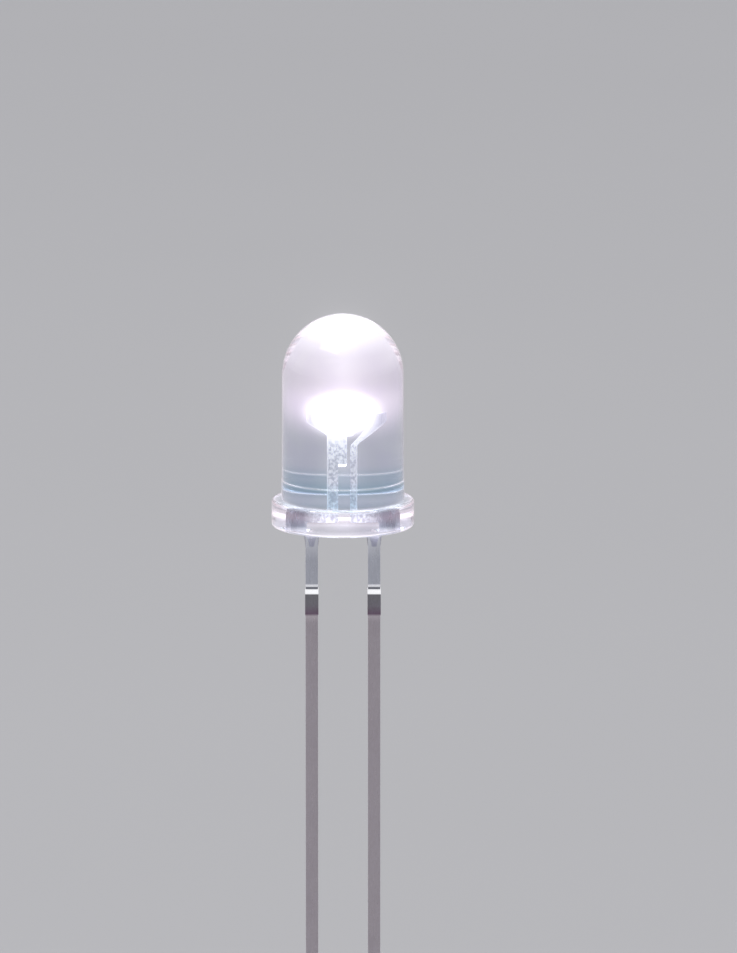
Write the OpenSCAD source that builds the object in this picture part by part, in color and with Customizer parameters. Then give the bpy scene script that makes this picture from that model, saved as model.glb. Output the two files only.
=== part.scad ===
// Through hole LED: a lead frame with a chip in its cup, cast into a clear round lens.
// Origin: on the seating plane (underside of the flange), on the lens axis.
// +Z runs up the optical axis to the dome, the two leads stand along X.

/* [Lens] */
// Diameter of the lens body at its foot, just above the flange
body_d = 5.0; // [4.2:0.05:6.4]
// Height of the lens, from the seating plane to the top of the dome
lens_h = 8.7; // [7.8:0.1:11]
// Width by which the flange stands out from the body
flange_lip = 0.4; // [0.3:0.05:0.8]
// Thickness of the flange
flange_h = 1.1; // [0.9:0.05:1.6]
// Radius along the top edge of the flange
flange_top_r = 0.14; // [0.05:0.01:0.22]
// Radius along the bottom edge of the flange
flange_bottom_r = 0.12; // [0.05:0.01:0.22]
// Height of the straight land above the flange, where a holder grips
land_h = 0.8; // [0.4:0.05:1.6]
// Step from the land in to the drafted part of the body
land_step = 0.02; // [0.005:0.005:0.04]
// Loss of radius over the drafted part, for release from the mould
body_draft = 0.015; // [0.005:0.005:0.1]
// Length of the resin skirt that runs down each lead
skirt_h = 0.85; // [0.3:0.05:1.2]
// Width by which a skirt stands out from its lead at the seating plane
skirt_w = 0.3; // [0.16:0.02:0.4]
// Thickness of the resin at a skirt's lower end
skirt_edge = 0.02; // [0.01:0.005:0.04]

/* [Leads] */
// Distance between the middles of the two leads
lead_pitch = 2.54; // [2.2:0.02:3.1]
// Width of a lead
lead_w = 0.5; // [0.4:0.02:0.6]
// Thickness of the sheet that the frame is stamped from
sheet_t = 0.5; // [0.35:0.05:0.6]
// Length of the cathode lead below the seating plane
cathode_len = 25.4; // [20:0.1:31]
// Length by which the anode lead is longer
anode_extra = 1.5; // [0.5:0.1:2.5]
// Distance from the seating plane down to the dam-bar stubs
stub_drop = 2.65; // [2:0.05:4]
// Height of a dam-bar stub
stub_h = 1.05; // [0.6:0.05:1.6]
// Width by which a stub stands out on each side of the lead
stub_out = 0.02; // [0.01:0.01:0.1]
// Radius of the stamped outline's outer corners
outer_corner_r = 0.05; // [0.02:0.01:0.07]
// Radius of the stamped outline's inner corners
inner_corner_r = 0.08; // [0.02:0.01:0.1]

/* [Posts inside the lens] */
// Height of the underside of the shoulders that carry the posts
shoulder_z = 0.3; // [0.2:0.02:0.5]
// Height of a shoulder
shoulder_h = 0.45; // [0.35:0.05:0.6]
// Slope that is cut off a shoulder's outer corner
shoulder_slope = 0.2; // [0.1:0.02:0.3]
// Distance from the lens axis to the near side of the anode post
anode_post_x = 0.2; // [0.16:0.01:0.26]
// Width of the anode post
anode_post_w = 0.16; // [0.14:0.01:0.4]
// Gap between the cathode plate and the anode post
post_gap = 0.1; // [0.08:0.01:0.2]
// Width of the cathode plate above its ledge
plate_w = 0.5; // [0.44:0.01:0.75]
// Width of the cathode post below the ledge
cathode_post_w = 0.27; // [0.22:0.01:0.42]
// Height of the ledge where the cathode post widens into the plate
ledge_z = 2.6; // [1.5:0.05:3.2]
// Height over which the anode post leans out to its head
lean_h = 0.9; // [0.7:0.05:1.1]

/* [Reflector cup] */
// Height of the cup's rim above the seating plane
cup_z = 4.75; // [4.4:0.05:5.7]
// Diameter of the cup's mouth
cup_mouth_d = 1.0; // [0.9:0.02:1.3]
// Diameter of the cup's floor
cup_floor_d = 0.6; // [0.5:0.02:0.75]
// Depth of the cup
cup_depth = 0.4; // [0.3:0.02:0.5]
// Thickness of the rim round the cup's mouth
cup_wall = 0.1; // [0.06:0.01:0.16]
// Height of the straight band below the rim
cup_band_h = 0.3; // [0.2:0.02:0.4]
// Height of the cone between the cathode plate and the band
cup_cone_h = 0.6; // [0.4:0.02:0.8]
// Diameter at the foot of that cone
cup_foot_d = 0.52; // [0.4:0.02:0.64]
// Width of the flat wing beside the cup, where the cathode wire lands
wing_w = 0.34; // [0.24:0.02:0.44]
// Gap between the cup and the anode head
head_gap = 0.17; // [0.12:0.01:0.24]
// Width of the anode head, where the anode wire lands
head_w = 0.36; // [0.26:0.02:0.46]
// Height of the upright part of the head and of the wing
head_h = 0.4; // [0.3:0.02:0.5]

/* [Chip and wires] */
// Side of the square chip
die_w = 0.3; // [0.2:0.01:0.36]
// Thickness of the chip
die_h = 0.12; // [0.08:0.01:0.16]
// Thickness of the adhesive under the chip
attach_h = 0.02; // [0.01:0.005:0.03]
// Width by which the adhesive shows round the chip's corners
attach_margin = 0.025; // [0.01:0.005:0.03]
// Diameter of a contact pad on the chip
pad_d = 0.09; // [0.07:0.005:0.1]
// Distance from the chip's edges to the middle of a pad
pad_inset = 0.065; // [0.055:0.005:0.08]
// Thickness of a contact pad
pad_h = 0.01; // [0.01:0.005:0.02]
// Height of the crown of phosphor resin above the rim
crown_h = 0.1; // [0.04:0.01:0.16]
// Diameter of the bond wires
wire_d = 0.03; // [0.024:0.002:0.04]
// Diameter of the ball that a wire starts from
ball_d = 0.075; // [0.06:0.005:0.09]
// Height of the ball
ball_h = 0.03; // [0.02:0.005:0.04]
// Rise of a wire's loop above the straight line between its ends
loop_h = 0.3; // [0.24:0.02:0.4]
// Diameter of the flattened end where a wire lands
stitch_d = 0.09; // [0.07:0.005:0.12]
// Thickness of that flattened end
stitch_h = 0.015; // [0.01:0.005:0.02]

/* [Hidden] */

resin = [0.86, 0.86, 0.96, 0.45];
tinned = [0.74, 0.75, 0.78];
adhesive = [0.88, 0.88, 0.84];
sapphire = [0.72, 0.82, 0.95];
phosphor_yellow = [0.98, 0.86, 0.36];
gold = [0.93, 0.74, 0.32];

// Lens profile
body_r = body_d / 2;
flange_r = body_r + flange_lip;
land_top = flange_h + land_h;
draft_foot_r = body_r - land_step;
dome_r = draft_foot_r - body_draft;
dome_z = lens_h - dome_r;
skirt_seat_r = lead_w / 2 + skirt_w;
skirt_end_r = lead_w / 2 + skirt_edge;
skirt_curve_r = (pow(skirt_h, 2) + pow(skirt_w - skirt_edge, 2)) / (2 * (skirt_w - skirt_edge));

// Lead frame, seen along Y
lead_x = lead_pitch / 2;
shoulder_top = shoulder_z + shoulder_h;
plate_right = anode_post_x - post_gap;
plate_left = plate_right - plate_w;
cup_mouth_r = cup_mouth_d / 2;
cup_rim_r = cup_mouth_r + cup_wall;
cup_floor_z = cup_z - cup_depth;
cup_overcut = cup_wall / 4;
cone_top_z = cup_z - cup_band_h;
cone_foot_z = cone_top_z - cup_cone_h;
wing_x = cup_rim_r + wing_w;
head_x = cup_rim_r + head_gap;
head_foot_z = cup_z - head_h;
lean_z = head_foot_z - lean_h;

// Chip and wire ends
attach_r = norm([die_w, die_w]) / 2 + attach_margin;
die_z = cup_floor_z + attach_h;
pad_z = die_z + die_h;
pad_off = die_w / 2 - pad_inset;
ball_z = pad_z + pad_h;
ball_taper = 0.8;
wire_sides = 8;
wire_rings = 24;

round_fn = 96;
small_fn = 32;
corner_fn = 20;

// What a rounded edge of radius r takes off a square corner at the origin
module edge_cut(r) {
    difference() {
        translate([-r, -r]) square(2 * r);
        translate([-r, -r]) circle(r = r, $fn = small_fn);
    }
}

// Profile of the lens from its axis outwards: flange, land, drafted body and dome
module lens_profile() {
    difference() {
        square([flange_r, flange_h]);
        translate([flange_r, flange_h]) edge_cut(flange_top_r);
        translate([flange_r, 0]) mirror([0, 1]) edge_cut(flange_bottom_r);
    }
    square([body_r, land_top]);
    polygon([[0, 0], [draft_foot_r, 0], [draft_foot_r, land_top], [dome_r, dome_z], [0, dome_z]]);
    translate([0, dome_z]) intersection() {
        circle(r = dome_r, $fn = round_fn);
        square(dome_r);
    }
}

// Resin drawn down a lead by surface tension: a slender trumpet that ends in a thin edge on the lead's faces
module skirt() {
    rotate_extrude($fn = small_fn * 2) difference() {
        translate([0, -skirt_h]) square([skirt_seat_r, skirt_h]);
        translate([skirt_end_r + skirt_curve_r, -skirt_h]) circle(r = skirt_curve_r, $fn = round_fn * 2);
    }
}

// A stamped outline: rounded at its outer and inner corners, and given the sheet's thickness
module stamped() {
    rotate([90, 0, 0]) linear_extrude(height = sheet_t, center = true)
        offset(r = outer_corner_r, $fn = corner_fn)
            offset(r = -outer_corner_r - inner_corner_r, $fn = corner_fn)
                offset(r = inner_corner_r, $fn = corner_fn)
                    children();
}

// One lead below the shoulder with its dam-bar stub, standing on x = 0 in the outline
module lead_outline(length) {
    translate([-lead_w / 2, -length]) square([lead_w, length + shoulder_z + lead_w / 2]);
    translate([-lead_w / 2 - stub_out, -stub_drop - stub_h]) square([lead_w + 2 * stub_out, stub_h]);
}

// Cathode: lead, shoulder, post, ledge, plate and the wing beside the cup
module cathode_outline() {
    translate([-lead_x, 0]) lead_outline(cathode_len);
    polygon([
        [-lead_x - lead_w / 2, shoulder_z],
        [plate_left + cathode_post_w, shoulder_z],
        [plate_left + cathode_post_w, ledge_z],
        [plate_right, ledge_z],
        [plate_right, cone_foot_z],
        [cup_foot_d / 2, cone_top_z],
        [cup_foot_d / 2, cup_z],
        [-wing_x, cup_z],
        [-wing_x, head_foot_z],
        [plate_left, cone_foot_z],
        [plate_left, shoulder_top],
        [-lead_x - lead_w / 2 + shoulder_slope, shoulder_top],
        [-lead_x - lead_w / 2, shoulder_top - shoulder_slope]
    ]);
}

// Anode: lead, shoulder, post that leans out past the cup, and the upright head
module anode_outline() {
    translate([lead_x, 0]) lead_outline(cathode_len + anode_extra);
    polygon([
        [anode_post_x, shoulder_z],
        [lead_x + lead_w / 2, shoulder_z],
        [lead_x + lead_w / 2, shoulder_top - shoulder_slope],
        [lead_x + lead_w / 2 - shoulder_slope, shoulder_top],
        [anode_post_x + anode_post_w, shoulder_top],
        [anode_post_x + anode_post_w, lean_z],
        [head_x + head_w, head_foot_z],
        [head_x + head_w, cup_z],
        [head_x, cup_z],
        [head_x, head_foot_z],
        [anode_post_x, lean_z]
    ]);
}

// Outside of the coined cup, before its hollow is pressed in
module cup_blank() {
    translate([0, 0, cone_foot_z])
        cylinder(d1 = cup_foot_d, r2 = cup_rim_r, h = cup_cone_h, $fn = round_fn);
    translate([0, 0, cone_top_z]) cylinder(r = cup_rim_r, h = cup_band_h, $fn = round_fn);
}

// The cup's hollow. Where it cuts, its cone goes on past the mouth by that height.
module cup_hollow(past = 0) {
    widening = (cup_mouth_d - cup_floor_d) / cup_depth;
    translate([0, 0, cup_floor_z])
        cylinder(d1 = cup_floor_d, d2 = cup_mouth_d + widening * past, h = cup_depth + past, $fn = round_fn);
}

module cathode_blank() {
    stamped() cathode_outline();
    cup_blank();
}

module cathode_form() {
    difference() {
        cathode_blank();
        cup_hollow(past = cup_overcut);
    }
}

module anode_form() {
    stamped() anode_outline();
}

module attach_form() {
    translate([0, 0, cup_floor_z]) cylinder(r = attach_r, h = attach_h, $fn = small_fn * 2);
}

// Chip with its two contact pads on opposite corners
module die_form() {
    translate([-die_w / 2, -die_w / 2, die_z]) cube([die_w, die_w, die_h]);
    for (side = [-1, 1])
        translate([side * pad_off, side * pad_off, pad_z]) cylinder(d = pad_d, h = pad_h, $fn = small_fn);
}

// A shallow crown of resin over the cup's mouth: a cap of a large sphere
module crown() {
    crown_r = (pow(cup_mouth_r, 2) + pow(crown_h, 2)) / (2 * crown_h);
    rotate_extrude($fn = round_fn) intersection() {
        translate([0, cup_z + crown_h - crown_r]) circle(r = crown_r, $fn = round_fn * 4);
        translate([0, cup_z]) square([cup_mouth_r, crown_h]);
    }
}

// Path of a bond wire in the upright plane through its ends: [run, height] at t from 0 to 1.
// The run starts slowly, so that the wire leaves its ball straight up.
function wire_run(t) = pow(t, 1.5);
function wire_rise(t) = sin(180 * pow(t, 0.8));
function wire_point(a, b, t) = [
    a[0] + (b[0] - a[0]) * wire_run(t),
    a[1] + (b[1] - a[1]) * wire_run(t),
    a[2] + (b[2] - a[2]) * t + loop_h * wire_rise(t)
];

// The ring of corners square to the path at t, from the difference of two points close by
function unit(v) = v / norm(v);
function wire_ring(a, b, t) =
    let (
        step = 0.5 / wire_rings,
        p = wire_point(a, b, t),
        along = unit(wire_point(a, b, min(1, t + step)) - wire_point(a, b, max(0, t - step))),
        side = unit(cross(along, [b[0] - a[0], b[1] - a[1], 0])),
        up = cross(side, along)
    )
    [for (k = [0:wire_sides - 1])
        let (turn = 360 * k / wire_sides)
        p + wire_d / 2 * (cos(turn) * side + sin(turn) * up)];

// Faces of a tube with that many rings, closed at both ends
function tube_faces(rings, sides) = concat(
    [[for (k = [0:sides - 1]) k]],
    [for (r = [0:rings - 2], k = [0:sides - 1])
        [r * sides + k, (r + 1) * sides + k, (r + 1) * sides + (k + 1) % sides, r * sides + (k + 1) % sides]],
    [[for (k = [sides - 1:-1:0]) (rings - 1) * sides + k]]
);

// A bond wire: ball on the chip's pad, loop, and the flattened end on the frame
module wire_form(pad_side, land_x) {
    start = [pad_side * pad_off, pad_side * pad_off, ball_z + ball_h / 2];
    end = [land_x, 0, cup_z + wire_d / 2];
    translate([start[0], start[1], ball_z])
        cylinder(d1 = ball_d, d2 = ball_d * ball_taper, h = ball_h, $fn = small_fn);
    translate([end[0], end[1], cup_z]) cylinder(d = stitch_d, h = stitch_h, $fn = small_fn);
    polyhedron(
        points = [for (r = [0:wire_rings - 1]) each wire_ring(start, end, r / (wire_rings - 1))],
        faces = tube_faces(wire_rings, wire_sides)
    );
}

module anode_wire_form() {
    wire_form(1, head_x + head_w / 2);
}

module cathode_wire_form() {
    wire_form(-1, -cup_rim_r - wing_w / 2);
}

module cathode_lead() color(tinned) cathode_form();

module anode_lead() color(tinned) anode_form();

module die_attach() color(adhesive) attach_form();

module die() color(sapphire) die_form();

module anode_wire() color(gold) anode_wire_form();

module cathode_wire() color(gold) cathode_wire_form();

// Phosphor resin: the cup's hollow and a crown, round the chip and the wires' first stretch
module phosphor() color(phosphor_yellow) difference() {
    union() {
        cup_hollow();
        crown();
    }
    attach_form();
    die_form();
    anode_wire_form();
    cathode_wire_form();
}

// Cast resin: the outer form, round everything that it holds
module lens() color(resin) difference() {
    union() {
        rotate_extrude($fn = round_fn) lens_profile();
        for (side = [-1, 1]) translate([side * lead_x, 0, 0]) skirt();
    }
    cathode_blank();
    anode_form();
    crown();
    anode_wire_form();
    cathode_wire_form();
}

lens();
cathode_lead();
anode_lead();
die_attach();
die();
phosphor();
anode_wire();
cathode_wire();
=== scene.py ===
import math

import bpy
from bpy.props import FloatProperty, FloatVectorProperty, PointerProperty
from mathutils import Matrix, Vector


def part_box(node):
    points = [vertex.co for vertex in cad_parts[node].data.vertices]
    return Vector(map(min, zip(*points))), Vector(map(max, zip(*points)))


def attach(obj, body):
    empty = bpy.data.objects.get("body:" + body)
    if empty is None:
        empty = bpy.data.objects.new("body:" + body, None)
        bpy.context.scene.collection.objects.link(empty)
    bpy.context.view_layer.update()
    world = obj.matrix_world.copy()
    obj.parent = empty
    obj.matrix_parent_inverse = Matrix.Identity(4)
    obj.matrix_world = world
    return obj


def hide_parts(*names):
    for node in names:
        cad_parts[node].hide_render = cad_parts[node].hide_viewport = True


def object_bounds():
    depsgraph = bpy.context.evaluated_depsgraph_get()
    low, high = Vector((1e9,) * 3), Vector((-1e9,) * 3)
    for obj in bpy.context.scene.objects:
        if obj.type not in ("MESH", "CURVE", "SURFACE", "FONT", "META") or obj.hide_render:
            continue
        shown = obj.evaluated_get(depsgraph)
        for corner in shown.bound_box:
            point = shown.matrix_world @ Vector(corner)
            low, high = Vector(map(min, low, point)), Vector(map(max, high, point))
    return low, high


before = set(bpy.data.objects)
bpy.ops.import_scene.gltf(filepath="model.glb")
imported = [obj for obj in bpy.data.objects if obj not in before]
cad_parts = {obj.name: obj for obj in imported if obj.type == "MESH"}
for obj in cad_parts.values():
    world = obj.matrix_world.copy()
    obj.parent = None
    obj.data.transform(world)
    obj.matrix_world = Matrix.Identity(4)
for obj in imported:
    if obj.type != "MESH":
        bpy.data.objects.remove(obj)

bl_info = {
    "name": "Through hole LED",
    "version": (1, 0, 0),
    "blender": (4, 5, 0),
    "location": "3D View > Sidebar > LED",
    "description": "Models a lit 5 mm through hole LED round its packed frame",
    "category": "Object",
}

MM = 0.001
BODY = "root"
CAD_BOX = [list(corner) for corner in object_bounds()]
LENS_LOW, LENS_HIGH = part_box("lens")
CATHODE_LOW, CATHODE_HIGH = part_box("cathode_lead")
ANODE_LOW, ANODE_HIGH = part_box("anode_lead")
ADHESIVE_LOW, ADHESIVE_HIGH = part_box("die_attach")
CHIP_LOW, CHIP_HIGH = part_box("die")
PHOSPHOR_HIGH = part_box("phosphor")[1]


def length(name, description, default):
    """A length property in metres."""
    return FloatProperty(name=name, description=description, default=default, unit="LENGTH", precision=5)


def strength(name, description, default):
    """A strength property, never below 0."""
    return FloatProperty(name=name, description=description, default=default, min=0)


def colour(name, description, default):
    """A colour property."""
    return FloatVectorProperty(
        name=name, description=description, default=default, size=3, subtype="COLOR", min=0, max=1
    )


class LensSizes(bpy.types.PropertyGroup):
    """Sizes of the cast resin."""

    flange_r: length("Flange radius", "Radius of the flange", LENS_HIGH.x)
    flange_h: length("Flange thickness", "Thickness of the flange", 1.1 * MM)
    flange_top_r: length("Top edge radius", "Radius along the flange's top edge", 0.14 * MM)
    flange_bottom_r: length("Bottom edge radius", "Radius along the flange's bottom edge", 0.12 * MM)
    body_r: length("Body radius", "Radius of the straight land above the flange", 2.5 * MM)
    land_h: length("Land height", "Height of the straight land above the flange", 0.8 * MM)
    land_step: length("Land step", "Step from the land in to the drafted body", 0.02 * MM)
    body_draft: length("Draft", "Loss of radius over the drafted body", 0.015 * MM)
    height: length("Lens height", "Height of the lens above the seating plane", LENS_HIGH.z)
    skirt_h: length("Skirt length", "How far the resin runs down each lead", -LENS_LOW.z)
    skirt_w: length("Skirt width", "Width by which a skirt stands out at the seating plane", 0.3 * MM)
    skirt_edge: length("Skirt edge", "Thickness of the resin at a skirt's lower end", 0.02 * MM)


class LeadFrameSizes(bpy.types.PropertyGroup):
    """Sizes of the stamped lead frame."""

    pitch: length("Lead pitch", "Distance between the middles of the leads", 2.54 * MM)
    width: length("Lead width", "Width of a lead", 0.5 * MM)
    sheet: length("Sheet thickness", "Thickness of the stamped sheet", ANODE_HIGH.y - ANODE_LOW.y)
    stub_drop: length("Stub drop", "Distance from the seating plane down to the dam-bar stubs", 2.65 * MM)
    stub_h: length("Stub height", "Height of a dam-bar stub", 1.05 * MM)
    stub_out: length("Stub width", "Width by which a stub stands out on each side", 0.02 * MM)
    corner_r: length("Corner radius", "Radius of the stamped outline's corners", 0.06 * MM)
    edge_r: length("Edge radius", "Rounding of the sheet's edges under the plating", 0.03 * MM)
    shoulder_z: length("Shoulder underside", "Height of the underside of the shoulders", 0.3 * MM)
    shoulder_h: length("Shoulder height", "Height of a shoulder", 0.45 * MM)
    shoulder_slope: length("Shoulder slope", "Slope cut off a shoulder's outer corner", 0.2 * MM)
    anode_post_x: length("Anode post place", "Distance from the axis to the anode post", 0.2 * MM)
    anode_post_w: length("Anode post width", "Width of the anode post", 0.16 * MM)
    post_gap: length("Post gap", "Gap between the cathode plate and the anode post", 0.1 * MM)
    plate_w: length("Plate width", "Width of the cathode plate", 0.5 * MM)
    cathode_post_w: length("Cathode post width", "Width of the cathode post", 0.27 * MM)
    ledge_z: length("Ledge height", "Height where the cathode post widens into the plate", 2.6 * MM)
    lean_h: length("Lean height", "Height over which the anode post leans out", 0.9 * MM)
    wing_w: length("Wing width", "Width of the flat wing beside the cup", 0.34 * MM)
    head_gap: length("Head gap", "Gap between the cup and the anode head", 0.17 * MM)
    head_w: length("Head width", "Width of the anode head", 0.36 * MM)
    head_h: length("Head height", "Height of the upright part of the head and the wing", 0.4 * MM)


class CupSizes(bpy.types.PropertyGroup):
    """Sizes of the reflector cup and what lies in it."""

    rim_z: length("Rim height", "Height of the cup's rim", CATHODE_HIGH.z)
    mouth_r: length("Mouth radius", "Radius of the cup's mouth", 0.5 * MM)
    floor_r: length("Floor radius", "Radius of the cup's floor", 0.3 * MM)
    depth: length("Cup depth", "Depth of the cup", CATHODE_HIGH.z - ADHESIVE_LOW.z)
    wall: length("Rim thickness", "Thickness of the rim", 0.1 * MM)
    band_h: length("Band height", "Height of the straight band below the rim", 0.3 * MM)
    cone_h: length("Cone height", "Height of the cone below the band", 0.6 * MM)
    foot_r: length("Cone foot radius", "Radius at the foot of the cone", 0.26 * MM)
    crown_h: length("Crown height", "Rise of the phosphor above the rim", PHOSPHOR_HIGH.z - CATHODE_HIGH.z)
    pad_inset: length("Pad inset", "Distance from the chip's edges to a pad's middle", 0.065 * MM)
    wire_r: length("Wire radius", "Radius of a bond wire", 0.015 * MM)
    loop_h: length("Loop height", "Rise of a wire's loop", 0.3 * MM)


class FinishSettings(bpy.types.PropertyGroup):
    """Colours and strengths of the finishes."""

    glow: strength("Lens glow", "Strength of the light that the resin carries", 1.0)
    plating: colour("Plating", "Tin plating below the stubs", (0.52, 0.47, 0.49))
    plating_top: colour("Bright plating", "Brighter plating above the stubs", (0.60, 0.62, 0.67))
    chip_light: strength("Chip light", "Strength of the lit phosphor", 30.0)
    floor: colour("Floor", "Plain pale floor", (0.49, 0.495, 0.505))


class ViewSettings(bpy.types.PropertyGroup):
    """The photograph's view."""

    elevation: FloatProperty(
        name="Elevation",
        description="Angle of view above the horizon",
        default=math.radians(11),
        subtype="ANGLE",
    )
    distance: length("Distance", "Distance from the camera to the LED", 0.5)
    tall: length("View height", "Height that the picture covers at the LED", 38.74 * MM)
    right: length("Centre right", "Picture's centre, right of the lens axis", 1.04 * MM)
    up: length("Centre up", "Picture's centre, above the seating plane", 2.0 * MM)


SETTINGS = {
    "led_lens": LensSizes,
    "led_frame": LeadFrameSizes,
    "led_cup": CupSizes,
    "led_look": FinishSettings,
    "led_view": ViewSettings,
}


def in_mm(group):
    """The group's lengths as plain numbers in millimetres, by name."""
    return {name: getattr(group, name) / MM for name in group.__annotations__}


# Drawing: pieces are drawn in millimetres and brought to metres when they are finished


def arc(centre, radius, start, end, steps):
    """Points (across, up) on an arc, angles in degrees."""
    turns = [math.radians(start + (end - start) * i / steps) for i in range(steps + 1)]
    return [(centre[0] + radius * math.cos(t), centre[1] + radius * math.sin(t)) for t in turns]


def round_corners(points, radius, steps=4):
    """The closed outline with each corner rounded, by less where its sides are short."""
    side_share = 0.45
    rounded = []
    for before, at, after in zip(points[-1:] + points[:-1], points, points[1:] + points[:1]):
        corner = Vector(at)
        to_before = Vector(before) - corner
        to_after = Vector(after) - corner
        reach = min(radius, to_before.length * side_share, to_after.length * side_share)
        first = corner + to_before.normalized() * reach
        last = corner + to_after.normalized() * reach
        for i in range(steps + 1):
            t = i / steps
            bend = first * (1 - t) ** 2 + corner * 2 * t * (1 - t) + last * t ** 2
            rounded.append((bend.x, bend.y))
    return rounded


def draw_line(name, points):
    """A new piece, left in edit mode: one vertex, extruded from point to point."""
    bpy.ops.object.select_all(action="DESELECT")
    bpy.ops.mesh.primitive_plane_add(size=1, location=(0, 0, 0))
    piece = bpy.context.object
    piece.name = piece.data.name = name
    bpy.ops.object.mode_set(mode="EDIT")
    bpy.ops.mesh.select_mode(type="VERT")
    bpy.ops.mesh.select_all(action="SELECT")
    bpy.ops.mesh.merge(type="CENTER")
    bpy.ops.transform.translate(value=points[0])
    for here, there in zip(points, points[1:]):
        step = Vector(there) - Vector(here)
        bpy.ops.mesh.extrude_vertices_move(TRANSFORM_OT_translate={"value": step})
    return piece


def mend(threshold=1e-5):
    """In edit mode: merges doubles and turns every face outwards, then goes back to object mode."""
    bpy.ops.mesh.select_all(action="SELECT")
    bpy.ops.mesh.remove_doubles(threshold=threshold)
    bpy.ops.mesh.normals_make_consistent(inside=False)
    bpy.ops.object.mode_set(mode="OBJECT")


def turn(name, profile, steps=128, place=(0, 0, 0)):
    """A closed round piece: a profile (radius, height) that starts and ends on the axis, spun about it."""
    piece = draw_line(name, [(r, 0, z) for r, z in profile])
    bpy.ops.mesh.select_all(action="SELECT")
    bpy.ops.mesh.spin(steps=steps, angle=math.tau, center=(0, 0, 0), axis=(0, 0, 1))
    bpy.ops.mesh.select_all(action="SELECT")
    bpy.ops.transform.translate(value=place)
    mend()
    return piece


def stamp(name, outline, thickness):
    """A flat stamped piece: a closed outline (x, z), filled and extruded to the sheet's thickness."""
    piece = draw_line(name, [(x, -thickness / 2, z) for x, z in outline])
    bpy.ops.mesh.select_all(action="SELECT")
    bpy.ops.mesh.edge_face_add()
    bpy.ops.mesh.extrude_region_move(TRANSFORM_OT_translate={"value": (0, thickness, 0)})
    mend()
    return piece


def apply_modifier(piece, kind, **settings):
    """Adds a modifier with these settings and applies it."""
    bpy.ops.object.select_all(action="DESELECT")
    piece.select_set(True)
    bpy.context.view_layer.objects.active = piece
    modifier = piece.modifiers.new(kind.title(), kind)
    for name, value in settings.items():
        setattr(modifier, name, value)
    bpy.ops.object.modifier_apply(modifier=modifier.name)


def combine(piece, other, operation):
    """Joins, or cuts away, another piece and deletes it."""
    apply_modifier(piece, "BOOLEAN", operation=operation, solver="EXACT", object=other)
    bpy.data.objects.remove(other)


def soften_edges(piece, width, segments=3):
    """Rounds the sharp edges of a piece that is drawn in millimetres."""
    angle = math.radians(40)
    apply_modifier(piece, "BEVEL", width=width, segments=segments, limit_method="ANGLE", angle_limit=angle)


def complete(piece, material, node, smooth=35):
    """Brings a piece to metres, shades it, gives it its material and ties it to the frame."""
    bpy.ops.object.select_all(action="DESELECT")
    piece.select_set(True)
    bpy.context.view_layer.objects.active = piece
    piece.scale = (MM, MM, MM)
    bpy.ops.object.transform_apply(location=True, rotation=True, scale=True)
    bpy.ops.object.shade_smooth_by_angle(angle=math.radians(smooth))
    piece.data.materials.clear()
    piece.data.materials.append(material)
    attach(piece, BODY)
    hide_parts(node)
    return piece


# Finishes


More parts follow.
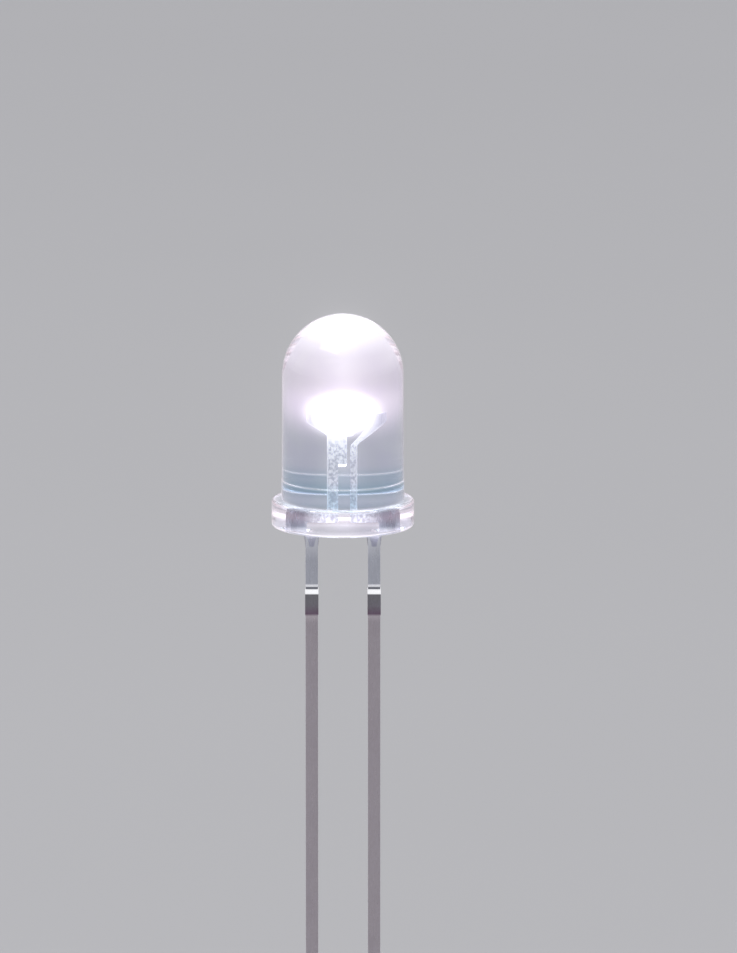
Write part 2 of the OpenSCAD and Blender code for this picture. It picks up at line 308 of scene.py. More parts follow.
class Finish:
    """A new material with its node tree: Object coordinates in millimetres, and one Principled shader."""

    def __init__(self, name):
        self.material = bpy.data.materials.new(name)
        self.material.use_nodes = True
        self.tree = self.material.node_tree
        self.shader = self.tree.nodes["Principled BSDF"]
        coordinates = self.node("ShaderNodeTexCoord")
        scale = self.node("ShaderNodeMapping")
        scale.inputs["Scale"].default_value = (1 / MM, 1 / MM, 1 / MM)
        self.link(coordinates.outputs["Object"], scale.inputs["Vector"])
        self.place = scale.outputs["Vector"]

    def node(self, kind, **settings):
        """A new node with these settings."""
        made = self.tree.nodes.new(kind)
        for name, value in settings.items():
            setattr(made, name, value)
        return made

    def link(self, output, to):
        """Links an output to an input."""
        self.tree.links.new(output, to)

    def set(self, **values):
        """Sets plain values on the shader's own sockets, by name with _ for a space."""
        for name, value in values.items():
            self.shader.inputs[name.replace("_", " ")].default_value = value

    def feed(self, **outputs):
        """Links outputs to the shader's own sockets, by name with _ for a space."""
        for name, output in outputs.items():
            self.link(output, self.shader.inputs[name.replace("_", " ")])

    def stretched(self, scale):
        """The millimetre coordinates, scaled by axis."""
        mapping = self.node("ShaderNodeMapping")
        mapping.inputs["Scale"].default_value = scale
        self.link(self.place, mapping.inputs["Vector"])
        return mapping.outputs["Vector"]

    def noise(self, vector, scale, detail=3.0, roughness=0.5):
        """A noise pattern from 0 to 1."""
        noise = self.node("ShaderNodeTexNoise")
        noise.inputs["Scale"].default_value = scale
        noise.inputs["Detail"].default_value = detail
        noise.inputs["Roughness"].default_value = roughness
        self.link(vector, noise.inputs["Vector"])
        return noise.outputs["Fac"]

    def along(self, axis):
        """The place along X, Y or Z, in millimetres."""
        split = self.node("ShaderNodeSeparateXYZ")
        self.link(self.place, split.inputs["Vector"])
        return split.outputs[axis]

    def height(self, low, high):
        """Height above the seating plane in millimetres, as 0 at low and 1 at high."""
        return self.fit(self.along("Z"), low, high, 0, 1)

    def away(self):
        """Distance from the lens axis along the lead frame, in millimetres."""
        size = self.node("ShaderNodeMath", operation="ABSOLUTE")
        self.link(self.along("X"), size.inputs[0])
        return size.outputs["Value"]

    def product(self, first, second):
        """Two values multiplied."""
        product = self.node("ShaderNodeMath", operation="MULTIPLY")
        self.link(first, product.inputs[0])
        self.link(second, product.inputs[1])
        return product.outputs["Value"]

    def fit(self, value, low, high, to_low, to_high):
        """A value from low to high, brought to another range."""
        fit = self.node("ShaderNodeMapRange")
        for name, number in zip(("From Min", "From Max", "To Min", "To Max"), (low, high, to_low, to_high)):
            fit.inputs[name].default_value = number
        self.link(value, fit.inputs["Value"])
        return fit.outputs["Result"]

    def ramp(self, value, stops):
        """Colours along a value: stops are (position, (r, g, b))."""
        ramp = self.node("ShaderNodeValToRGB")
        elements = ramp.color_ramp.elements
        while len(elements) < len(stops):
            elements.new(0.5)
        for element, (position, rgb) in zip(elements, stops):
            element.position = position
            element.color = (*rgb, 1)
        self.link(value, ramp.inputs["Fac"])
        return ramp.outputs["Color"]

    def mix(self, factor, first, second, blend="MIX"):
        """Two colours mixed. Each of the three may be an output or a plain value."""
        mix = self.node("ShaderNodeMix", data_type="RGBA", blend_type=blend)
        for socket, given in zip((mix.inputs[0], mix.inputs[6], mix.inputs[7]), (factor, first, second)):
            if isinstance(given, bpy.types.NodeSocket):
                self.link(given, socket)
            else:
                socket.default_value = given if isinstance(given, (int, float)) else (*given, 1)
        return mix.outputs[2]

    def glow(self, glows, power):
        """Light given off inside the piece: soft rings, or balls where the radius is 0, round the lens axis.

        Each is (radius, height, half width, half height, light per millimetre, colour)."""
        radius = self.node("ShaderNodeVectorMath", operation="LENGTH")
        self.link(self.stretched((1, 1, 0)), radius.inputs[0])
        section = self.node("ShaderNodeCombineXYZ")
        self.link(radius.outputs["Value"], section.inputs["X"])
        self.link(self.along("Z"), section.inputs["Z"])
        total = None
        for r, z, across, up, light, rgb in glows:
            ring = self.node("ShaderNodeMapping", vector_type="TEXTURE")
            ring.inputs["Location"].default_value = (r, 0, z)
            ring.inputs["Scale"].default_value = (across, 1, up)
            self.link(section.outputs["Vector"], ring.inputs["Vector"])
            fade = self.node("ShaderNodeTexGradient", gradient_type="QUADRATIC_SPHERE")
            self.link(ring.outputs["Vector"], fade.inputs["Vector"])
            lit = self.node("ShaderNodeEmission")
            lit.inputs["Color"].default_value = (*rgb, 1)
            self.link(self.fit(fade.outputs["Fac"], 0, 1, 0, light * power / MM), lit.inputs["Strength"])
            if total is None:
                total = lit.outputs[0]
            else:
                both = self.node("ShaderNodeAddShader")
                self.link(total, both.inputs[0])
                self.link(lit.outputs[0], both.inputs[1])
                total = both.outputs[0]
        self.link(total, self.tree.nodes["Material Output"].inputs["Volume"])

    def bump(self, value, strength, distance_mm):
        """A bump from a pattern, on top of any earlier one, linked to the shader's normal."""
        bump = self.node("ShaderNodeBump")
        bump.inputs["Strength"].default_value = strength
        bump.inputs["Distance"].default_value = distance_mm * MM
        self.link(value, bump.inputs["Height"])
        normal = self.shader.inputs["Normal"]
        if normal.is_linked:
            self.link(normal.links[0].from_socket, bump.inputs["Normal"])
        self.link(bump.outputs["Normal"], normal)


def resin_tint_with_painted_light(resin, top):
    """The resin's colour by share of its height, a blue foot under a pale dome, with faint clouds: the pale
    dome is painted light, the blue foot painted shade.
    """
    # Painted light and shade: the faint tint turns paler towards the dome and darker blue at the foot, by
    # height
    painted_light_tint = resin.ramp(resin.height(0, top), [
        (0.0, (0.76, 0.77, 0.84)),
        (0.11, (0.73, 0.77, 0.85)),
        (0.14, (0.43, 0.65, 0.80)),
        (0.21, (0.48, 0.68, 0.83)),
        (0.26, (0.86, 0.90, 1.0)),
        (0.42, (0.88, 0.91, 1.0)),
        (0.56, (0.88, 0.87, 0.97)),
        (0.72, (0.90, 0.88, 0.95)),
    ])
    clouds = resin.noise(resin.stretched((1, 1, 0.8)), 0.9, 2.0)
    return resin.mix(resin.fit(clouds, 0.38, 0.62, 0, 1), painted_light_tint, (0.94, 0.92, 0.98), "MULTIPLY")


def resin_glows(top):
    """The balls and rings of light inside the resin, each as Finish.glow takes it."""
    white = (1.0, 1.0, 1.0)
    pale = (0.97, 0.96, 0.97)
    lavender = (0.95, 0.79, 0.92)
    pink = (1.0, 0.62, 0.66)
    at_cup = [
        (0, 4.72, 1.3, 1.15, 4.5, white),
        (0, 4.9, 3.2, 1.6, 0.33, lavender),
    ]
    in_dome = [
        (0, 6.15, 3.4, 2.2, 0.098, lavender),
        (0, 6.6, 0.95, 2.6, 0.13, white),
        (0, top, 3.0, 2.4, 0.36, pale),
        (1.4, 8.0, 1.6, 1.2, 0.08, pale),
        (2.2, 7.2, 1.0, 1.4, 0.18, pale),
    ]
    round_posts = [
        (0, 2.4, 1.0, 2.6, 0.22, white),
        (0, 0.2, 1.0, 0.5, 0.42, white),
    ]
    in_flange = [
        (2.8, 0.0, 0.45, 0.17, 1.7, white),
        (2.85, 0.75, 0.28, 0.6, 1.25, pink),
    ]
    in_skirts = [
        (1.27, -0.3, 0.5, 0.6, 2.0, pale),
    ]
    return at_cup + in_dome + round_posts + in_flange + in_skirts


def resin_surface_light(resin, top):
    """Light that leaves the surface, by share of the height: three narrow bright bands, and the dome."""
    dark = (0, 0, 0)
    rim = (0.21, 0.19, 0.20)
    edge = (0.13, 0.13, 0.13)
    step = (0.15, 0.15, 0.15)
    bottom_rim = [(0.001, dark), (0.004, rim), (0.014, rim), (0.020, dark)]
    flange_top_edge = [(0.114, dark), (0.118, edge), (0.127, edge), (0.131, dark)]
    land_step = [(0.211, dark), (0.215, step), (0.223, step), (0.227, dark)]
    dome = [
        (0.46, dark),
        (0.62, (0.028, 0.022, 0.028)),
        (0.76, (0.045, 0.038, 0.045)),
        (0.84, (0.09, 0.082, 0.09)),
        (0.92, (0.30, 0.29, 0.30)),
    ]
    return resin.ramp(resin.height(0, top), bottom_rim + flange_top_edge + land_step + dome)


def resin_finish(look, lens):
    """Clear cast epoxy, with the chip's light in it: a blaze at the cup, a white dome and a dim foot."""
    resin = Finish("clear_resin")
    top = lens["height"]
    resin.set(Transmission_Weight=1.0, IOR=1.53, Emission_Strength=look.glow)
    resin.set(Sheen_Weight=0.9, Sheen_Roughness=0.35, Sheen_Tint=(1.0, 0.97, 1.0, 1))
    resin.feed(Base_Color=resin_tint_with_painted_light(resin, top), Emission_Color=resin_surface_light(resin, top))
    resin.glow(resin_glows(top), look.glow)
    ripples = resin.noise(resin.stretched((1, 1, 0.6)), 1.1, 1.0)
    resin.feed(Roughness=resin.fit(ripples, 0.3, 0.7, 0.01, 0.03))
    return resin.material


def tin_by_height(tin, sizes, stops):
    """Colours from below the stubs up to the shoulders: stops are (height in millimetres, (r, g, b))."""
    room_below = 1.5
    low = -(sizes["stub_drop"] + sizes["stub_h"] + room_below)
    high = 1.0
    return tin.ramp(tin.height(low, high), [((z - low) / (high - low), rgb) for z, rgb in stops])


def tin_colour_and_painted_light(tin, look, sizes, streaks):
    """Greyer tin below, a dark patch at each stub, a painted highlight as a bright bar and a bright line at
    each stub with a painted shadow between them, and brighter tin above that turns near white with painted
    light from the chip under the flange.
    """
    stub_top = -sizes["stub_drop"]
    stub_low = stub_top - sizes["stub_h"]
    dull = tuple(look.plating)
    bright = tuple(look.plating_top)
    painted_highlight = (0.98, 0.99, 1.0)
    painted_chip_light = (0.94, 0.96, 1.0)
    tin_and_painted_light = tin_by_height(tin, sizes, [
        (stub_low - 0.30, dull),
        (stub_low - 0.05, tuple(min(1, c * 1.25) for c in dull)),
        (stub_low + 0.05, (0.21, 0.14, 0.19)),
        (stub_low + 0.40, (0.25, 0.235, 0.25)),
        (stub_top - 0.19, (0.25, 0.245, 0.25)),
        # Painted highlight: the bright bar at the stub's top
        (stub_top - 0.17, painted_highlight),
        (stub_top + 0.01, painted_highlight),
        # Painted shadow: a dark line between the bar and the bright line above it
        (stub_top + 0.04, (0.20, 0.21, 0.23)),
        (stub_top + 0.11, (0.28, 0.29, 0.31)),
        # Painted highlight: the bright line above the stub
        (stub_top + 0.13, painted_highlight),
        (stub_top + 0.20, painted_highlight),
        (stub_top + 0.24, bright),
        (-1.4, bright),
        # Painted light from the chip: the tin turns near white towards the flange
        (-0.4, painted_chip_light),
        (0.0, painted_chip_light),
        (0.15, (0.38, 0.43, 0.50)),
    ])
    blotches = tin.noise(tin.stretched((1, 1, 0.5)), 1.7, 3.0)
    worn = tin.mix(tin.fit(streaks, 0.3, 0.7, 0, 0.35), tin_and_painted_light, (0.86, 0.87, 0.90), "MULTIPLY")
    return tin.mix(tin.fit(blotches, 0.4, 0.75, 0, 0.3), worn, (0.80, 0.77, 0.80), "MULTIPLY")


def post_light(tin, ledge_z):
    """Light on the posts inside the lens, dimmer at the shoulders' ends and beside the cup."""
    dark = (0, 0, 0)
    full = (1, 1, 1)
    away = tin.away()
    light_top = 4.5
    light = tin.ramp(tin.height(0, light_top), [
        (0.0, dark),
        (0.07, (0.95, 0.96, 0.98)),
        (0.17, (0.75, 0.76, 0.79)),
        (0.25, (0.64, 0.62, 0.63)),
        (0.55, (0.56, 0.55, 0.55)),
        (0.72, (0.70, 0.70, 0.72)),
        (0.88, (0.98, 0.98, 0.98)),
    ])
    shoulder_ends = tin.product(tin.fit(away, 0.55, 1.15, 0, 1), tin.height(1.6, 0.9))
    light = tin.mix(shoulder_ends, light, (0.02, 0.02, 0.03))
    beside_cup = tin.product(tin.fit(away, 0.4, 1.15, 0, 1), tin.height(3.2, 3.8))
    light = tin.mix(beside_cup, light, (0.30, 0.29, 0.33))
    # Darker flecks below the cup
    mottle = tin.noise(tin.stretched((1, 1, 0.6)), 13.0, 3.0, 0.65)
    flecks = tin.product(tin.fit(mottle, 0.42, 0.58, 0, 1), tin.height(3.9, 3.4))
    light = tin.mix(flecks, light, (0.48, 0.48, 0.51), "MULTIPLY")
    # A bright band at the ledge, near the lens axis only
    band = [(0.28, dark), (0.33, full), (0.62, full), (0.75, dark)]
    ledge = tin.ramp(tin.height(ledge_z - 0.1, ledge_z + 0.2), band)
    near_axis = tin.fit(away, 0.11, 0.14, 1, 0)
    return tin.mix(near_axis, light, tin.mix(1.0, light, ledge, "ADD"))


def stub_light(tin, sizes):
    """Light that the bright bar and the bright line at each stub catch."""
    stub_top = -sizes["stub_drop"]
    dark = (0, 0, 0)
    bar = (0.50, 0.50, 0.50)
    line = (0.20, 0.20, 0.21)
    return tin_by_height(tin, sizes, [
        (stub_top - 0.19, dark),
        (stub_top - 0.17, bar),
        (stub_top + 0.01, bar),
        (stub_top + 0.03, dark),
        (stub_top + 0.12, dark),
        (stub_top + 0.14, line),
        (stub_top + 0.20, line),
        (stub_top + 0.24, dark),
    ])


def plating_finish(look, sizes):
    """Tin on stamped steel with drawn streaks, lit inside the lens and at the stubs."""
    tin = Finish("tin_plating")
    streaks = tin.noise(tin.stretched((9, 9, 0.5)), 2.2, 4.0, 0.6)
    light = tin.mix(1.0, post_light(tin, sizes["ledge_z"]), stub_light(tin, sizes), "ADD")
    tin.set(Metallic=1.0, Emission_Strength=1.0)
    tin.feed(Base_Color=tin_colour_and_painted_light(tin, look, sizes, streaks), Emission_Color=light)
    tin.feed(Roughness=tin.fit(streaks, 0.3, 0.7, 0.22, 0.42))
    tin.bump(streaks, 0.25, 0.006)
    return tin.material


def phosphor_finish(look):
    """Yellow phosphor grains in resin, lit from inside."""
    phosphor = Finish("lit_phosphor")
    grains = phosphor.noise(phosphor.place, 40.0, 2.0)
    phosphor.feed(
        Base_Color=phosphor.ramp(grains, [(0.35, (0.95, 0.78, 0.22)), (0.65, (1.0, 0.92, 0.48))]),
        Emission_Color=phosphor.ramp(grains, [(0.3, (1.0, 0.96, 0.88)), (0.7, (0.97, 0.98, 1.0))]),
    )
    phosphor.set(Roughness=0.45, Emission_Strength=look.chip_light)
    phosphor.bump(grains, 0.3, 0.004)
    return phosphor.material


def chip_finish():
    """Polished sapphire chip."""
    crystal = Finish("chip_crystal")
    cells = crystal.noise(crystal.place, 25.0)
    crystal.feed(Base_Color=crystal.ramp(cells, [(0.3, (0.50, 0.66, 0.92)), (0.7, (0.62, 0.78, 0.98))]))
    crystal.set(Roughness=0.12, IOR=1.77, Emission_Color=(0.55, 0.7, 1.0, 1), Emission_Strength=4.0)
    crystal.bump(cells, 0.1, 0.002)
    return crystal.material


def adhesive_finish():
    """Cured die adhesive, slightly uneven."""
    adhesive = Finish("die_adhesive")
    lumps = adhesive.noise(adhesive.place, 12.0)
    adhesive.feed(Base_Color=adhesive.ramp(lumps, [(0.3, (0.80, 0.80, 0.74)), (0.7, (0.90, 0.90, 0.86))]))
    adhesive.set(Roughness=0.4)
    adhesive.bump(lumps, 0.3, 0.004)
    return adhesive.material


def gold_finish():
    """Drawn gold wire."""
    gold = Finish("gold_wire")
    scratches = gold.noise(gold.stretched((8, 30, 8)), 6.0)
    gold.feed(Base_Color=gold.ramp(scratches, [(0.3, (0.90, 0.66, 0.26)), (0.7, (1.0, 0.80, 0.40))]))
    gold.set(Metallic=1.0, Roughness=0.22)
    gold.bump(scratches, 0.15, 0.001)
    return gold.material


def floor_finish(look):
    """Plain pale paper floor."""
    paper = Finish("pale_floor")
    fibres = paper.noise(paper.place, 0.02, 2.0)
    pale = tuple(look.floor)
    paper.feed(Base_Color=paper.ramp(fibres, [(0.3, tuple(c * 0.985 for c in pale)), (0.7, pale)]))
    paper.set(Roughness=0.9, Specular_IOR_Level=0.1)
    return paper.material


# Outlines of the stamped strips, (x, z) in millimetres, seen along Y


def lead_sides(f, length_below):
    """The lead from its tip up to the shoulder: the outline up its right side, then down its left side."""
    half = f["width"] / 2
    top = -f["stub_drop"]
    low = top - f["stub_h"]
    out = f["stub_out"]
    right = [(half, -length_below), (half, low), (half + out, low), (half + out, top), (half, top)]
    left = [(-x, z) for x, z in reversed(right)]
    return right, left


def cathode_outline(f, cup, length_below):
    """Lead, shoulder, post, ledge, plate and the wing beside the cup."""
    right, left = lead_sides(f, length_below)
    x = -f["pitch"] / 2
    outer = x - f["width"] / 2
    plate_right = f["anode_post_x"] - f["post_gap"]
    plate_left = plate_right - f["plate_w"]
    post_right = plate_left + f["cathode_post_w"]
    shoulder_top = f["shoulder_z"] + f["shoulder_h"]
    cone_top = cup["rim_z"] - cup["band_h"]
    cone_foot = cone_top - cup["cone_h"]
    wing = -(cup["mouth_r"] + cup["wall"] + f["wing_w"])
    return (
        [(x + dx, z) for dx, z in right]
        + [
            (x + f["width"] / 2, f["shoulder_z"]),
            (post_right, f["shoulder_z"]),
            (post_right, f["ledge_z"]),
            (plate_right, f["ledge_z"]),
            (plate_right, cone_foot),
            (cup["foot_r"], cone_top),
            (cup["foot_r"], cup["rim_z"]),
            (wing, cup["rim_z"]),
            (wing, cup["rim_z"] - f["head_h"]),
            (plate_left, cone_foot),
            (plate_left, shoulder_top),
            (outer + f["shoulder_slope"], shoulder_top),
            (outer, shoulder_top - f["shoulder_slope"]),
        ]
        + [(x + dx, z) for dx, z in left]
    )


def anode_outline(f, cup, length_below):
    """Lead, shoulder, post that leans out past the cup, and the upright head."""
    right, left = lead_sides(f, length_below)
    x = f["pitch"] / 2
    outer = x + f["width"] / 2
    shoulder_top = f["shoulder_z"] + f["shoulder_h"]
    near = f["anode_post_x"]
    far = near + f["anode_post_w"]
    head = cup["mouth_r"] + cup["wall"] + f["head_gap"]
    head_foot = cup["rim_z"] - f["head_h"]
    lean = head_foot - f["lean_h"]
    return (
        [(x + dx, z) for dx, z in right]
        + [
            (outer, shoulder_top - f["shoulder_slope"]),
            (outer - f["shoulder_slope"], shoulder_top),
            (far, shoulder_top),
            (far, lean),
            (head + f["head_w"], head_foot),
            (head + f["head_w"], cup["rim_z"]),
            (head, cup["rim_z"]),
            (head, head_foot),
            (near, lean),
            (near, f["shoulder_z"]),
            (x - f["width"] / 2, f["shoulder_z"]),
        ]
        + [(x + dx, z) for dx, z in left]
    )


class LED_OT_lens(bpy.types.Operator):
    """Cast resin: flange, land, drafted body and dome, with the skirts that run down the leads"""

    bl_idname = "led.lens"
    bl_label = "Cast the lens"

    # How far a skirt is rooted in the flange, in millimetres
    root_depth = 0.15

    def execute(self, context):
        s = in_mm(context.scene.led_lens)
        f = in_mm(context.scene.led_frame)
        top_r, bottom_r = s["flange_top_r"], s["flange_bottom_r"]
        land_top = s["flange_h"] + s["land_h"]
        foot_r = s["body_r"] - s["land_step"]
        dome_r = foot_r - s["body_draft"]
        dome_z = s["height"] - dome_r
        underside_r = s["flange_r"] * 0.55
        profile = (
            [(0, 0), (underside_r, 0)]
            + arc((s["flange_r"] - bottom_r, bottom_r), bottom_r, -90, 0, steps=5)
            + arc((s["flange_r"] - top_r, s["flange_h"] - top_r), top_r, 0, 90, steps=6)
            + [(s["body_r"], s["flange_h"]), (s["body_r"], land_top), (foot_r, land_top + s["land_step"])]
            + arc((0, dome_z), dome_r, 0, 90, steps=72)
        )
        lens = turn("resin_lens", profile, steps=288)
        for side in (-1, 1):
            place = (side * f["pitch"] / 2, 0, 0)
            skirt = turn("skirt", self.skirt_profile(s, f["width"] / 2), steps=64, place=place)
            combine(lens, skirt, "UNION")
        complete(lens, resin_finish(context.scene.led_look, s), "lens", smooth=30)
        return {"FINISHED"}

    def skirt_profile(self, s, half_lead):
        """A slender hollow-sided trumpet, from its thin lower edge up into the flange."""
        h = s["skirt_h"]
        spread = s["skirt_w"] - s["skirt_edge"]
        curve_r = (h ** 2 + spread ** 2) / (2 * spread)
        turned = math.degrees(math.asin(h / curve_r))
        low_r = half_lead + s["skirt_edge"]
        rise = arc((low_r + curve_r, -h), curve_r, 180, 180 - turned, steps=12)
        return [(0, -h), *rise, (rise[-1][0], self.root_depth), (0, self.root_depth)]


class LED_OT_leads(bpy.types.Operator):
    """Stamped and plated lead frame: the cathode with its coined cup, and the anode"""

    bl_idname = "led.leads"
    bl_label = "Stamp the lead frame"

    def execute(self, context):
        f = in_mm(context.scene.led_frame)
        cup = in_mm(context.scene.led_cup)
        plating = plating_finish(context.scene.led_look, f)
        outline = round_corners(cathode_outline(f, cup, -CATHODE_LOW.z / MM), f["corner_r"])
        cathode = stamp("cathode_strip", outline, f["sheet"])
        soften_edges(cathode, f["edge_r"])
        self.coin_cup(cathode, cup)
        complete(cathode, plating, "cathode_lead")
        outline = round_corners(anode_outline(f, cup, -ANODE_LOW.z / MM), f["corner_r"])
        anode = stamp("anode_strip", outline, f["sheet"])
        soften_edges(anode, f["edge_r"])
        complete(anode, plating, "anode_lead")
        return {"FINISHED"}

    def coin_cup(self, cathode, cup):
        """Adds the round head to the plate, then presses the cup's hollow into it."""
        rim_r = cup["mouth_r"] + cup["wall"]
        lip = cup["wall"] * 0.3
        rim_z = cup["rim_z"]
        cone_top = rim_z - cup["band_h"]
        blank = turn("cup_blank", (
            [(0, cone_top - cup["cone_h"]), (cup["foot_r"], cone_top - cup["cone_h"]), (rim_r, cone_top)]
            + arc((rim_r - lip, rim_z - lip), lip, 0, 90, steps=4)
            + [(0, rim_z)]
        ), steps=96)
        combine(cathode, blank, "UNION")
        floor_z = rim_z - cup["depth"]
        hollow = turn("cup_hollow", [
            (0, floor_z),
            (cup["floor_r"], floor_z),
            (cup["mouth_r"], rim_z),
            (cup["mouth_r"] + lip, rim_z + lip),
            (0, rim_z + lip),
        ], steps=96)
        combine(cathode, hollow, "DIFFERENCE")


class LED_OT_chip(bpy.types.Operator):
    """Light-emitting chip with its sunk top and its pads, on its spot of adhesive"""

    bl_idname = "led.chip"
    bl_label = "Place the chip"

    # Sizes of the pads and of the adhesive's rounded edge, in millimetres
    pad_r = 0.045
    pad_rise = 0.01
    pad_edge = 0.003
    pad_root = 0.02
    adhesive_edge = 0.02

    def execute(self, context):
        cup = in_mm(context.scene.led_cup)
        complete(self.chip(cup["pad_inset"]), chip_finish(), "die")
        complete(self.adhesive(), adhesive_finish(), "die_attach")
        return {"FINISHED"}

    def chip(self, pad_inset):
        """A square block whose top is sunk a little inside a narrow border, with two round pads."""
        low, high = CHIP_LOW / MM, CHIP_HIGH / MM
        side = high.x - low.x
        top_z = high.z - self.pad_rise
        bpy.ops.object.select_all(action="DESELECT")
        bpy.ops.mesh.primitive_cube_add(size=1, location=(0, 0, (low.z + top_z) / 2))
        chip = bpy.context.object
        chip.name = chip.data.name = "light_chip"
        chip.scale = (side, side, top_z - low.z)
        bpy.ops.object.transform_apply(location=True, rotation=True, scale=True)
        bpy.ops.object.mode_set(mode="EDIT")
        bpy.ops.mesh.select_mode(type="FACE")
        bpy.ops.mesh.select_all(action="DESELECT")
        bpy.ops.object.mode_set(mode="OBJECT")
        for face in chip.data.polygons:
            face.select = face.normal.z > 0.9
        bpy.ops.object.mode_set(mode="EDIT")
        border = side * 0.04
        slope = side * 0.03
        sunk = side * 0.02
        bpy.ops.mesh.inset(thickness=border, depth=0)
        bpy.ops.mesh.inset(thickness=slope, depth=-sunk)
        mend()
        soften_edges(chip, side * 0.012, 2)
        reach = side / 2 - pad_inset
        pad_profile = [
            (0, top_z - self.pad_root),
            (self.pad_r, top_z - self.pad_root),
            (self.pad_r, high.z - self.pad_edge),
            (self.pad_r - self.pad_edge, high.z),
            (0, high.z),
        ]
        for sign in (-1, 1):
            pad = turn("pad", pad_profile, steps=32, place=(sign * reach, sign * reach, 0))
            combine(chip, pad, "UNION")
        return chip

    def adhesive(self):
        """A thin round spot with a rounded edge."""
        radius = ADHESIVE_HIGH.x / MM
        bottom, top = ADHESIVE_LOW.z / MM, ADHESIVE_HIGH.z / MM
        return turn("chip_adhesive", (
            [(0, bottom), (radius, bottom)]
            + arc((radius - self.adhesive_edge, bottom), top - bottom, 0, 90, steps=4)
            + [(0, top)]
        ), steps=64)


class LED_OT_phosphor(bpy.types.Operator):
    """Phosphor resin that fills the cup and crowns over its rim"""

    bl_idname = "led.phosphor"
    bl_label = "Fill the cup"

    def execute(self, context):
        cup = in_mm(context.scene.led_cup)
        floor_z = cup["rim_z"] - cup["depth"]
        rise = cup["crown_h"]
        crown_r = (cup["mouth_r"] ** 2 + rise ** 2) / (2 * rise)
        edge = math.degrees(math.asin(cup["mouth_r"] / crown_r))
        fill = turn("phosphor_fill", (
            [(0, floor_z), (cup["floor_r"], floor_z)]
            + arc((0, cup["rim_z"] + rise - crown_r), crown_r, 90 - edge, 90, steps=12)
        ), steps=96)
        complete(fill, phosphor_finish(context.scene.led_look), "phosphor")
        return {"FINISHED"}


class LED_OT_wires(bpy.types.Operator):
    """Gold bond wires: a ball on the chip, a loop, and a flattened end on the frame"""

    bl_idname = "led.wires"
    bl_label = "Bond the wires"

    # Half sections of the ball and of the flattened end, as (radius, height)
    ball_profile = [(0, 0), (0.03, 0), *arc((0.026, 0.014), 0.014, -60, 90, steps=6), (0, 0.03)]
    stitch_profile = [(0, 0), (0.045, 0), (0.043, 0.008), (0.03, 0.014), (0, 0.016)]

    def execute(self, context):
        cup = in_mm(context.scene.led_cup)
        f = in_mm(context.scene.led_frame)
        rim_r = cup["mouth_r"] + cup["wall"]
        reach = (CHIP_HIGH.x - CHIP_LOW.x) / MM / 2 - cup["pad_inset"]
        gold = gold_finish()
        ends = {
            "anode": (1, rim_r + f["head_gap"] + f["head_w"] / 2),
            "cathode": (-1, -rim_r - f["wing_w"] / 2),
        }
        for name, (side, land_x) in ends.items():
            start = Vector((side * reach, side * reach, CHIP_HIGH.z / MM))
            end = Vector((land_x, 0, cup["rim_z"]))
            wire = self.bond(f"{name}_bond_wire", start, end, cup["wire_r"], cup["loop_h"])
            complete(wire, gold, f"{name}_wire")
        return {"FINISHED"}

    def bond(self, name, start, end, radius, loop_h):
        """One wire from a chip's pad to the frame."""
        steps = 30
        points = []
        first = start + Vector((0, 0, radius))
        last = end + Vector((0, 0, radius))
        for i in range(steps + 1):
            t = i / steps
            run = t ** 1.5
            rise = math.sin(math.pi * t ** 0.8)
            points.append((
                first.x + (last.x - first.x) * run,
                first.y + (last.y - first.y) * run,
                first.z + (last.z - first.z) * t + loop_h * rise,
            ))
        wire = draw_line(name, points)
        bpy.ops.object.mode_set(mode="OBJECT")
        bpy.ops.object.convert(target="CURVE")
        wire.data.bevel_depth = radius
        wire.data.bevel_resolution = 3
        wire.data.use_fill_caps = True
        bpy.ops.object.convert(target="MESH")
        wire = bpy.context.object
        bpy.ops.object.mode_set(mode="EDIT")
        mend()
        combine(wire, turn("ball", self.ball_profile, steps=24, place=start), "UNION")
        combine(wire, turn("stitch", self.stitch_profile, steps=24, place=end), "UNION")
        return wire


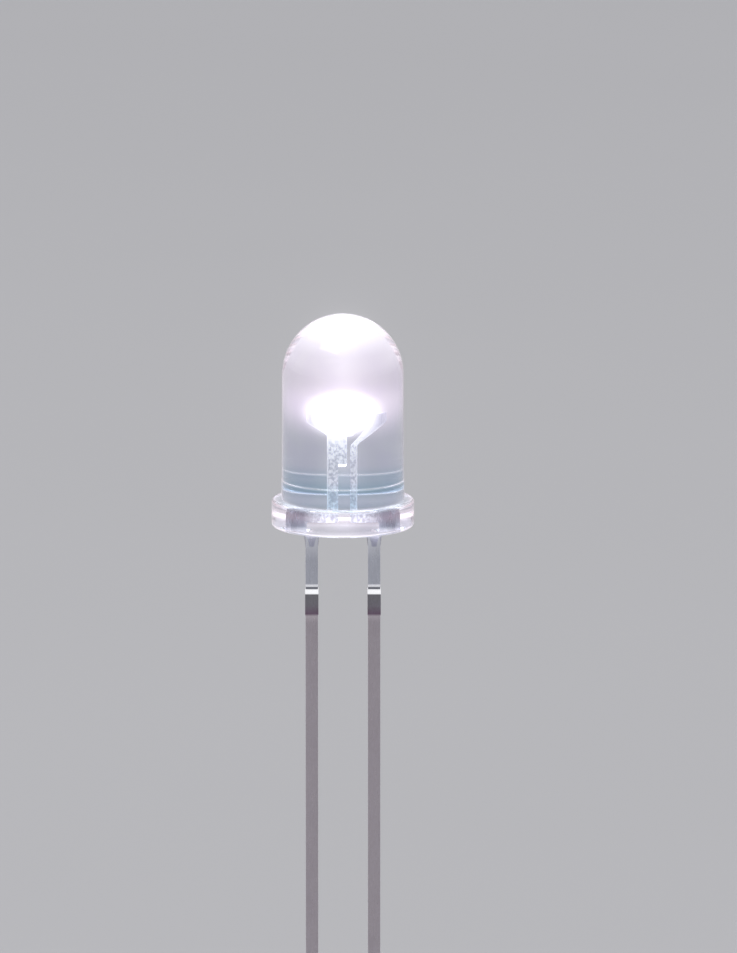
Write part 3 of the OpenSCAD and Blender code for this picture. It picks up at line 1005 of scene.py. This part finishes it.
class LED_OT_studio(bpy.types.Operator):
    """Plain pale floor, pale room, one soft light and the photograph's camera"""

    bl_idname = "led.studio"
    bl_label = "Set the studio"

    def execute(self, context):
        scene = context.scene
        bpy.ops.object.select_all(action="DESELECT")
        bpy.ops.mesh.primitive_plane_add(size=8, location=(0, 0, CAD_BOX[0][2]))
        floor = context.object
        floor.name = floor.data.name = "floor"
        bpy.ops.object.transform_apply(location=True, rotation=True, scale=True)
        floor.data.materials.append(floor_finish(scene.led_look))
        warm = (1.0, 0.99, 0.98)
        self.soft_light("top_light", place=(-0.20, -0.22, 0.80), size=(0.6, 0.6), power=3.0, rgb=warm)
        self.room(scene)
        scene.view_settings.view_transform = "Standard"
        self.camera(scene)
        self.bloom(scene)
        return {"FINISHED"}

    def room(self, scene):
        """A pale room whose light swells softly to both sides and dims towards the horizon."""
        world = bpy.data.worlds.new("pale_room")
        world.use_nodes = True
        tree = world.node_tree
        background = tree.nodes["Background"]
        background.inputs["Color"].default_value = (0.94, 0.93, 0.97, 1)
        direction = tree.nodes.new("ShaderNodeTexCoord")
        split = tree.nodes.new("ShaderNodeSeparateXYZ")
        sideways = tree.nodes.new("ShaderNodeMath")
        sideways.operation = "ABSOLUTE"
        swell = tree.nodes.new("ShaderNodeMapRange")
        swell.interpolation_type = "SMOOTHSTEP"
        for name, value in (("From Min", 0.3), ("From Max", 1.0), ("To Min", 0.5), ("To Max", 1.4)):
            swell.inputs[name].default_value = value
        tree.links.new(direction.outputs["Generated"], split.inputs["Vector"])
        tree.links.new(split.outputs["X"], sideways.inputs[0])
        tree.links.new(sideways.outputs[0], swell.inputs["Value"])
        steepness = tree.nodes.new("ShaderNodeMath")
        steepness.operation = "ABSOLUTE"
        horizon = tree.nodes.new("ShaderNodeMapRange")
        horizon.interpolation_type = "SMOOTHSTEP"
        for name, value in (("From Min", 0.04), ("From Max", 0.22), ("To Min", 0.62), ("To Max", 1.0)):
            horizon.inputs[name].default_value = value
        brightness = tree.nodes.new("ShaderNodeMath")
        brightness.operation = "MULTIPLY"
        tree.links.new(split.outputs["Z"], steepness.inputs[0])
        tree.links.new(steepness.outputs[0], horizon.inputs["Value"])
        tree.links.new(swell.outputs["Result"], brightness.inputs[0])
        tree.links.new(horizon.outputs["Result"], brightness.inputs[1])
        tree.links.new(brightness.outputs[0], background.inputs["Strength"])
        scene.world = world

    def soft_light(self, name, place, size, power, rgb):
        """A soft box of that width and height that faces the LED."""
        light = bpy.data.lights.new(name, "AREA")
        light.shape = "RECTANGLE"
        light.size, light.size_y = size
        light.energy = power
        light.color = rgb
        holder = bpy.data.objects.new(name, light)
        bpy.context.scene.collection.objects.link(holder)
        holder.location = place
        holder.rotation_euler = (-Vector(place)).to_track_quat("-Z", "Y").to_euler()

    def camera(self, scene):
        """A long lens at the photograph's angle, framed as the photograph is."""
        view = scene.led_view
        data = bpy.data.cameras.new("photo_view")
        data.sensor_fit = "VERTICAL"
        data.sensor_height = 24
        data.lens = data.sensor_height * view.distance / view.tall
        data.clip_start = 0.01
        data.clip_end = 50
        camera = bpy.data.objects.new("photo_view", data)
        scene.collection.objects.link(camera)
        tilt = view.elevation
        aim = Vector((view.right, 0, view.up))
        camera.location = aim + Vector((0, -math.cos(tilt), math.sin(tilt))) * view.distance
        camera.rotation_euler = (math.pi / 2 - tilt, 0, 0)
        scene.camera = camera

    def bloom(self, scene):
        """A soft bloom round the brightest places, as a camera shows it."""
        scene.use_nodes = True
        nodes = scene.node_tree.nodes
        layers = nodes["Render Layers"]
        out = nodes["Composite"]
        glare = nodes.new("CompositorNodeGlare")
        glare.glare_type = "BLOOM"
        glare.inputs["Threshold"].default_value = 1.1
        glare.inputs["Strength"].default_value = 0.35
        glare.inputs["Size"].default_value = 0.25
        scene.node_tree.links.new(layers.outputs["Image"], glare.inputs["Image"])
        scene.node_tree.links.new(glare.outputs["Image"], out.inputs["Image"])


class LED_PT_panel(bpy.types.Panel):
    """The LED's pieces in the order in which they are made"""

    bl_label = "Through hole LED"
    bl_space_type = "VIEW_3D"
    bl_region_type = "UI"
    bl_category = "LED"

    def draw(self, context):
        for operator in OPERATORS:
            self.layout.operator(operator.bl_idname)
        for group in SETTINGS:
            box = self.layout.box()
            settings = getattr(context.scene, group)
            for name in settings.__annotations__:
                box.prop(settings, name)


OPERATORS = (LED_OT_lens, LED_OT_leads, LED_OT_chip, LED_OT_phosphor, LED_OT_wires, LED_OT_studio)


def register():
    for cls in (*SETTINGS.values(), *OPERATORS, LED_PT_panel):
        bpy.utils.register_class(cls)
    for name, cls in SETTINGS.items():
        setattr(bpy.types.Scene, name, PointerProperty(type=cls))


def unregister():
    for name in SETTINGS:
        delattr(bpy.types.Scene, name)
    for cls in reversed((*SETTINGS.values(), *OPERATORS, LED_PT_panel)):
        bpy.utils.unregister_class(cls)


def main():
    """Makes every piece."""
    register()
    bpy.ops.led.lens()
    bpy.ops.led.leads()
    bpy.ops.led.chip()
    bpy.ops.led.phosphor()
    bpy.ops.led.wires()
    bpy.ops.led.studio()


if __name__ == "__main__":
    main()
